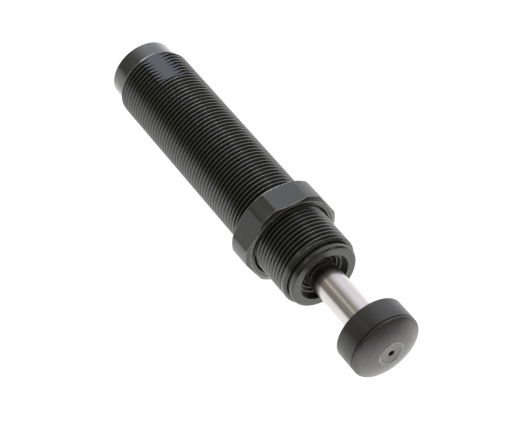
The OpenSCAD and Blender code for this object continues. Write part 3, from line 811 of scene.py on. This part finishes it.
def threaded_body():
    """Body: helical thread, collar with the plug's recess, pilot, mouth and bore, milled flat."""
    turns = ceil((thread_front_x - thread_rear_x) / PITCH) + 2
    last_groove_x = thread_front_x - FRONT_LAND
    thread = grown(
        "threaded_body", helical_thread_group(), BODY_STEEL,
        Rear=thread_rear_x, Front=thread_front_x, Crest_radius=thread_radius,
        Depth=thread_depth, Pitch=PITCH, Turns=turns, Steps_per_turn=COLUMNS, Start=THREAD_START,
        Crest_width=CREST_WIDTH, Root_width=ROOT_WIDTH, Edge_width=EDGE_WIDTH,
        Last_turn=(last_groove_x - thread_rear_x) / PITCH + 1,
        Rear_radius=collar_radius, Rear_taper=REAR_TAPER,
        Front_radius=THREAD_FRONT_RADIUS, Front_taper=FRONT_TAPER)
    builder = bmesh.new()
    builder.from_mesh(thread.data)
    floor_x = span("tube_base")[0]
    recess_x = rear_x + PLUG_HEAD_HEIGHT + PLUG_SEAL
    recess_radius = plug_radius + SLIP_GAP
    relief_radius = PILOT_RADIUS - RELIEF_DEPTH
    groove_radius = ring_radius + SLIP_GAP
    lip = [
        (pilot_rear_x + LIP_ROUNDING * (1 - cos(radians(angle))),
         PILOT_RADIUS - LIP_ROUNDING * (1 - sin(radians(angle))))
        for angle in range(15, 91, 15)
    ]
    ends = rounded([
        (thread_front_x, THREAD_FRONT_RADIUS), (thread_front_x, relief_radius),
        (pilot_rear_x, relief_radius), *lip,
        (front_x - FRONT_CHAMFER, PILOT_RADIUS), (front_x, PILOT_RADIUS - FRONT_CHAMFER),
        (front_x, bore_radius), (ring_front_x, bore_radius), (ring_front_x, groove_radius),
        (ring_rear_x, groove_radius), (ring_rear_x, bore_radius),
        (floor_x, bore_radius), (floor_x, PLUG_SHANK_RADIUS),
        (recess_x, PLUG_SHANK_RADIUS), (recess_x, recess_radius),
        (rear_x, recess_radius), (rear_x, collar_radius - REAR_CHAMFER),
        (rear_x + REAR_CHAMFER, collar_radius), (thread_rear_x, collar_radius),
    ], BODY_ROUNDING, open_ends=True)
    add_turned(builder, ends, closed=False)
    bmesh.ops.remove_doubles(builder, verts=builder.verts, dist=MERGE_DISTANCE)
    body = finish_mesh("body", builder, BODY_STEEL)
    bpy.data.objects.remove(thread)

    # flat milled across the rear threads
    cutter = box_object(
        "flat_cutter", Vector((thread_rear_x, -thread_radius, FLAT_Z)),
        Vector((thread_rear_x + FLAT_LENGTH, thread_radius, thread_radius + FLAT_DEPTH)))
    milled = body.modifiers.new("milled_flat", "BOOLEAN")
    milled.operation = "DIFFERENCE"
    milled.solver = "EXACT"
    milled.object = cutter
    plain_mesh(body)
    smooth(body.data)
    sharpen_flat(body.data)
    bpy.data.objects.remove(cutter)
    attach(body, "housing")
    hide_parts("outer_body")


def box_object(name, low, high):
    """A box between two corners."""
    builder = bmesh.new()
    bmesh.ops.create_cube(builder, size=1.0)
    for vert in builder.verts:
        vert.co = vert.co * (high - low) + (low + high) / 2
    return add_object(name, mesh_from(name, builder))


def sharpen_flat(mesh):
    """Keeps the milled flat's shading apart from the shallow turned faces next to it."""
    builder = bmesh.new()
    builder.from_mesh(mesh)
    for face in builder.faces:
        if face.normal.z > 0.9999 and abs(face.calc_center_median().z - FLAT_Z) < 0.001 * MM:
            for edge in face.edges:
                edge.smooth = False
    builder.to_mesh(mesh)
    builder.free()


def jam_nut():
    """Thin hexagon nut: turned corners, chamfered faces and countersunk mouths."""
    flat_half_angle = acos(nut_half_flats / nut_corner_radius)
    corner_half_angle = radians(30) - flat_half_angle
    angles = []
    for side in range(6):
        centre = radians(30 + 60 * side)
        corner = centre + radians(30)
        angles += [centre + flat_half_angle * (step / 4 - 1) for step in range(9)]
        angles += [corner + corner_half_angle * (step / 3 - 1) for step in range(1, 6)]

    def rim(angle):
        """Outer radius of the nut at an angle, and how deep the chamfer cuts there."""
        nearest = round((degrees(angle) - 30) / 60) * 60 + 30
        off = angle - radians(nearest)
        flat_reach = (nut_half_flats - NUT_BOX_ALLOWANCE) / cos(off)
        radius = min(flat_reach, nut_corner_radius)
        return radius, (radius - nut_face_radius) * tan(radians(30))

    builder, lightened = new_builder()
    columns = []
    for angle in angles:
        radius, depth = rim(angle)
        columns.append(add_column(builder, [
            (nut_rear_x, nut_bore_radius + NUT_SINK), (nut_rear_x, nut_face_radius),
            (nut_rear_x + depth, radius), (nut_front_x - depth, radius),
            (nut_front_x, nut_face_radius), (nut_front_x, nut_bore_radius + NUT_SINK),
            (nut_front_x - NUT_SINK, nut_bore_radius), (nut_rear_x + NUT_SINK, nut_bore_radius),
        ], angle))
    join_columns(builder, columns + columns[:1])
    bmesh.ops.recalc_face_normals(builder, faces=builder.faces)
    edges = [edge for edge in builder.edges if edge.calc_face_angle(0) > radians(25)]
    broken = bmesh.ops.bevel(
        builder, geom=edges, offset=NUT_EDGE, offset_type="OFFSET", segments=2, profile=0.5,
        affect="EDGES", clamp_overlap=True)
    # the bevels are painted lighter: partly scuffing, partly a painted highlight along the nut's
    # edges
    for face in broken["faces"]:
        face[lightened] = 1.0
    nut = finish_mesh("nut", builder, NUT_STEEL, sharp_angle=5)
    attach(nut, "lock_nut")
    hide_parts("jam_nut")


def mouth_ring():
    """Open retaining ring in the mouth, its gap at the bottom, its inner front edge painted
    lighter: partly scuffing, partly a painted highlight.
    """
    half_opening = asin(RING_OPENING / 2 / bore_radius)
    start = -pi / 2 + half_opening
    sweep = 2 * pi - 2 * half_opening
    inner_radius = ring_radius - RING_WIDTH
    builder, lightened = new_builder()
    outline = rounded([
        (ring_rear_x, inner_radius), (ring_front_x, inner_radius),
        (ring_front_x, ring_radius), (ring_rear_x, ring_radius)], RING_ROUNDING)
    columns = [
        add_column(builder, outline, start + sweep * step / RING_STEPS)
        for step in range(RING_STEPS + 1)
    ]
    join_columns(builder, columns)
    builder.faces.new(columns[0])
    builder.faces.new(columns[-1])
    lighten_inner_edge(builder, lightened, inner_radius, ring_front_x)
    ring = finish_mesh("mouth_ring", builder, RING_STEEL)
    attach(ring, "housing")
    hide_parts("retaining_ring")


def wiper():
    """Rod wiper: outer case with an edge painted lighter (partly scuffing, partly a painted
    highlight), groove, and a lip that leans onto the rod.
    """
    lip_radius = rod_radius + RUN_GAP
    heel_radius = rod_radius + HEEL_GAP
    case_radius = pocket_radius - WIPER_CASE
    groove_floor_x = wiper_front_x - WIPER_GROOVE_DEPTH
    tip_x = wiper_front_x - WIPER_TIP_BACK
    outline = rounded([
        (wiper_rear_x, heel_radius), (wiper_rear_x, pocket_radius),
        (wiper_front_x, pocket_radius), (wiper_front_x, case_radius),
        (groove_floor_x, case_radius), (groove_floor_x, case_radius - WIPER_GROOVE),
        (tip_x, lip_radius + WIPER_TIP), (tip_x, lip_radius), (tip_x - WIPER_LIP, lip_radius),
    ], WIPER_ROUNDING)
    builder, lightened = new_builder()
    add_turned(builder, outline)
    lighten_inner_edge(builder, lightened, case_radius, wiper_front_x)
    made = finish_mesh("wiper", builder, WIPER_RUBBER)
    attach(made, "housing")
    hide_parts("wiper_ring")


def rod():
    """Polished rod, its rear spigot and its chamfered front end inside the cap."""
    low_x, high_x = span("piston_rod")
    shoulder_x = span("piston")[1]
    outline = [
        (low_x, 0), (low_x, ROD_SPIGOT_RADIUS), (shoulder_x, ROD_SPIGOT_RADIUS),
        (shoulder_x, rod_radius), (high_x - ROD_CHAMFER, rod_radius),
        (high_x, rod_radius - ROD_CHAMFER), (high_x, 0),
    ]
    builder = bmesh.new()
    add_turned(builder, rounded(outline, ROD_ROUNDING), ROD_COLUMNS)
    made = finish_mesh("rod", builder, ROD_STEEL)
    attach(made, "rod_assembly")
    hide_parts("piston_rod")


def bumper_cap():
    """Cap: straight side, fine groove, rounded shoulder, sloping front, rimmed centre disc."""
    groove_x = cap_front_x - DOME_HEIGHT
    groove_rear_x = groove_x - CAP_GROOVE_WIDTH / 2
    shoulder_x = groove_x + CAP_GROOVE_WIDTH / 2
    face_x = cap_front_x - DISC_RIM_HEIGHT
    insert_low_x, insert_high_x = span("cap_insert")
    insert_radius = outer_radius("cap_insert")
    sleeve_radius = rod_radius + INSERT_SLEEVE
    flange_x = insert_high_x - INSERT_FLANGE
    shoulder = [
        (shoulder_x + SHOULDER_RADIUS * sin(radians(angle)),
         cap_radius - SHOULDER_RADIUS * (1 - cos(radians(angle))))
        for angle in range(0, 90 - DOME_SLOPE + 1, 6)
    ]
    start = Vector(shoulder[-1])
    chord = Vector((face_x, DISC_RADIUS + DISC_RIM_WIDTH)) - start
    outer_slope = radians(DOME_SLOPE)
    inner_slope = 2 * atan2(chord.x, -chord.y) - outer_slope
    dome_radius = chord.length / 2 / sin((outer_slope - inner_slope) / 2)
    front = []
    for step in range(1, DOME_STEPS + 1):
        slope = outer_slope + (inner_slope - outer_slope) * step / DOME_STEPS
        front.append((
            start.x + dome_radius * (cos(slope) - cos(outer_slope)),
            start.y - dome_radius * (sin(outer_slope) - sin(slope))))
    outline = [
        (cap_rear_x, rod_radius), (cap_rear_x, cap_radius - CAP_CHAMFER),
        (cap_rear_x + CAP_CHAMFER, cap_radius), (groove_rear_x, cap_radius),
        (groove_x, cap_radius - CAP_GROOVE_DEPTH), *shoulder, *front,
        (cap_front_x, DISC_RADIUS + DISC_RIM_WIDTH / 2),
        (cap_front_x, DISC_RADIUS), (face_x, DISC_RADIUS - DISC_RIM_WIDTH / 2),
        (face_x, PIP_RADIUS), (face_x - PIP_DEPTH, PIP_RADIUS), (face_x - PIP_DEPTH, 0),
        (insert_high_x, 0), (insert_high_x, insert_radius), (flange_x, insert_radius),
        (flange_x, sleeve_radius), (insert_low_x, sleeve_radius), (insert_low_x, rod_radius),
    ]
    builder, lightened = new_builder()
    add_turned(builder, rounded(outline, CAP_ROUNDING), CAP_COLUMNS)
    # the rim's top is marked for a painted highlight and the disc a little for a painted
    # reflection, both partly scuffing
    for face in builder.faces:
        middle = face.calc_center_median()
        if middle.x > face_x + DISC_RIM_HEIGHT / 3:
            face[lightened] = 1.0
        elif middle.x > face_x - FACE_MARGIN / 2 and middle.yz.length < DISC_RADIUS:
            face[lightened] = DISC_LIGHTENING
    made = finish_mesh("cap", builder, CAP_NYLON)
    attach(made, "rod_assembly")
    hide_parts("bumper_cap")


def fill_plug():
    """Plug in the closed end, with a hexagon socket in its head."""
    low_x, high_x = span("fill_plug")
    head_x = low_x + PLUG_HEAD_HEIGHT
    key_radius = PLUG_KEY / 2

    def socket(radius, angle):
        """Turns the socket's circle into a hexagon of the key's size."""
        if radius > key_radius + TINY or radius < TINY:
            return radius
        off = (angle + pi / 6) % (pi / 3) - pi / 6
        return radius / cos(off)

    builder = bmesh.new()
    add_turned(builder, [
        (low_x + PLUG_EDGE, plug_radius), (head_x, plug_radius), (head_x, PLUG_SHANK_RADIUS),
        (high_x, PLUG_SHANK_RADIUS), (high_x, 0), (head_x, 0), (head_x, key_radius),
        (low_x, key_radius), (low_x, key_radius + PLUG_KEY_EDGE),
        (low_x, plug_radius - PLUG_EDGE),
    ], PLUG_COLUMNS, radius_at=socket)
    made = finish_mesh("plug", builder, PLUG_STEEL)
    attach(made, "housing")
    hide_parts("fill_plug")


def return_spring():
    """Return spring in the pressure tube."""
    made = grown(
        "spring", coil_spring_group(), SPRING_STEEL,
        Rear=spring_rear_x, Front=spring_front_x, Coil_radius=COIL_RADIUS,
        Wire_radius=outer_radius("return_spring") - COIL_RADIUS, Coils=COILS)
    smooth(made.data, sharp_angle=40)
    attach(made, "housing")
    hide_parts("return_spring")
    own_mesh(made)


threaded_body()
jam_nut()
mouth_ring()
wiper()
rod()
bumper_cap()
fill_plug()
return_spring()

# ---------- finishes of the other CAD nodes

finishes = {
    "fill_plug_seal": COPPER,
    "pressure_tube": HARD_STEEL,
    "tube_base": HARD_STEEL,
    "tube_base_seal": NITRILE,
    "accumulator_cage": ZINC_STEEL,
    "accumulator_foam": FOAM,
    "front_gland": GLAND_STEEL,
    "gland_o_ring": NITRILE,
    "rod_bearing": BRONZE,
    "rod_seal": POLYURETHANE,
    "seal_support": PLAIN_PTFE,
    "piston": HARD_STEEL,
    "piston_ring": FILLED_PTFE,
    "check_ball": BALL_STEEL,
    "ball_retainer": ZINC_STEEL,
    "spring_seat": ZINC_STEEL,
    "cap_insert": ZINC_STEEL,
}
for node_name, finish in finishes.items():
    mesh = frame["nodes"][node_name].data
    mesh.materials.clear()
    mesh.materials.append(finish)

# ---------- floor, light and camera

WHITE = (1.0, 1.0, 1.0)
BLACK = (0.0, 0.0, 0.0)
ROOM = (0.285, 0.273, 0.238)
ROOM_LOW = (0.19, 0.18, 0.158)
ROOM_RIGHT = (0.07, 0.068, 0.06)
SWEEP = (1.0, 1.0, 1.08)
SWEEP_AZIMUTH = -148
SIDE_AZIMUTH = -100
RIGHT_AZIMUTH = 85
FLOOR_GLOW = 1.1
FLOOR_REACH = 3.0
SOFTBOX_DISTANCE = 1.2
CAMERA_AZIMUTH = 57.68
CAMERA_ELEVATION = 46.66
CAMERA_DISTANCE = 0.5942
CAMERA_AIM = Vector((-3.5, -3.27, 0.0)) * MM
CAMERA_LENS = 136.65


def floor():
    """Plain pale light table that the nut's lower flat and the closed end of the body rest on.

    What the camera sees is evenly bright. The light it gives is less on the camera's side and
    ahead of the cap, where no backdrop lights it.
    """
    material, wiring, shader = new_material("pale_floor")
    place = wiring.place()
    parts = wiring.parts(place)
    away = wiring.node("ShaderNodeVectorMath", {
        0: place, 1: (cap_rear_x, 0.0, -nut_half_flats)}, operation="DISTANCE")
    far = wiring.map_range(away.outputs["Value"], 0.03, 0.26, 0.0, 0.5)
    beside = wiring.times(far, wiring.map_range(parts["Y"], 0.0, -0.03))
    ahead = wiring.map_range(parts["X"], cap_front_x + 0.02, cap_front_x + 0.1, 0.0, 0.8)
    seen = wiring.node("ShaderNodeLightPath").outputs["Is Camera Ray"]
    dimming = wiring.times(wiring.math("MAXIMUM", beside, ahead), wiring.minus(1.0, seen))
    wiring.feed_all(shader, {
        "Base Color": wiring.mix_colour(
            wiring.noise(place, 6.0), (0.14, 0.14, 0.14), (0.15, 0.15, 0.15)),
        "Roughness": 0.9,
        "Specular IOR Level": 0.1,
        "Emission Color": wiring.mix_colour(dimming, WHITE, BLACK),
        "Emission Strength": FLOOR_GLOW,
    })
    slope = (nut_half_flats - collar_radius) / (nut_rear_x - rear_x)
    builder = bmesh.new()
    for x, y in ((-1, -1), (1, -1), (1, 1), (-1, 1)):
        x, y = x * FLOOR_REACH, y * FLOOR_REACH
        builder.verts.new((x, y, -nut_half_flats - (x - nut_rear_x) * slope))
    builder.faces.new(builder.verts)
    mesh = mesh_from("floor", builder)
    mesh.materials.append(material)
    made = add_object("floor", mesh)


def direction(azimuth, elevation):
    """A direction away from the object. Azimuth 0 is towards -y and 90 towards +x, in degrees."""
    turn, rise = radians(azimuth), radians(elevation)
    return Vector((
        sin(turn) * cos(rise), -cos(turn) * cos(rise), sin(rise)))


def face_towards(made, target, azimuth, elevation, distance):
    """Puts a light or a camera at a distance from a target and turns it to face the target."""
    back = direction(azimuth, elevation)
    made.location = target + back * distance
    made.rotation_euler = back.to_track_quat("Z", "Y").to_euler()


def softbox(name, azimuth, elevation, size, power):
    """A soft rectangular light that faces the object, its size in metres and power in watts."""
    data = bpy.data.lights.new(name, "AREA")
    data.shape = "RECTANGLE"
    data.size, data.size_y = size
    data.energy = power
    made = add_object(name, data)
    face_towards(made, Vector((0.0, 0.0, 0.0)), azimuth, elevation, SOFTBOX_DISTANCE)


def studio():
    """A dim room with a bright sweep behind the object, and three softboxes.

    The camera sees a white backdrop in the room's place.
    """
    world = bpy.data.worlds.new("studio")
    bpy.context.scene.world = world
    world.use_nodes = True
    wiring = Wiring(world.node_tree)
    looking = wiring.node("ShaderNodeTexCoord").outputs["Generated"]
    height = wiring.parts(looking)["Z"]

    def towards(azimuth, low, high):
        """A mask of the directions that point nearly to an azimuth along the floor."""
        facing = wiring.node("ShaderNodeVectorMath", {
            0: looking, 1: direction(azimuth, 0)}, operation="DOT_PRODUCT")
        return wiring.map_range(facing.outputs["Value"], low, high)

    glow = wiring.times(towards(SWEEP_AZIMUTH, 0.08, 0.6), towards(SIDE_AZIMUTH, -0.15, 0.2))
    upper = wiring.map_range(height, 0.05, 0.4)
    right = wiring.math(
        "SUBTRACT", towards(RIGHT_AZIMUTH, 0.25, 0.8), wiring.map_range(height, 0.1, 0.35),
        clamp=True)
    walls = wiring.mix_colour(right, wiring.mix_colour(upper, ROOM_LOW, ROOM), ROOM_RIGHT)
    room = world.node_tree.nodes["Background"]
    wiring.feed_all(room, {"Color": wiring.mix_colour(glow, walls, SWEEP), "Strength": 1.0})
    backdrop = wiring.node("ShaderNodeBackground", {"Color": WHITE})
    chosen = wiring.node("ShaderNodeMixShader", {
        0: wiring.node("ShaderNodeLightPath").outputs["Is Camera Ray"],
        1: room.outputs[0],
        2: backdrop.outputs[0],
    })
    wiring.feed(world.node_tree.nodes["World Output"].inputs["Surface"], chosen.outputs[0])
    softbox("fill_softbox", -47, 44, (0.34, 0.34), 0.14)
    softbox("top_softbox", 176, 64, (0.36, 0.36), 0.9)
    softbox("rear_softbox", -104, 12, (0.6, 0.75), 4.0)
    bpy.context.scene.view_settings.view_transform = "Standard"


def camera():
    """Looks down on the cap end from the side that shows the mouth."""
    data = bpy.data.cameras.new("camera")
    data.lens = CAMERA_LENS
    data.sensor_width = 36
    data.clip_start = 0.01
    data.clip_end = 20
    made = add_object("camera", data)
    face_towards(made, CAMERA_AIM, CAMERA_AZIMUTH, CAMERA_ELEVATION, CAMERA_DISTANCE)
    bpy.context.scene.camera = made


floor()
studio()
camera()
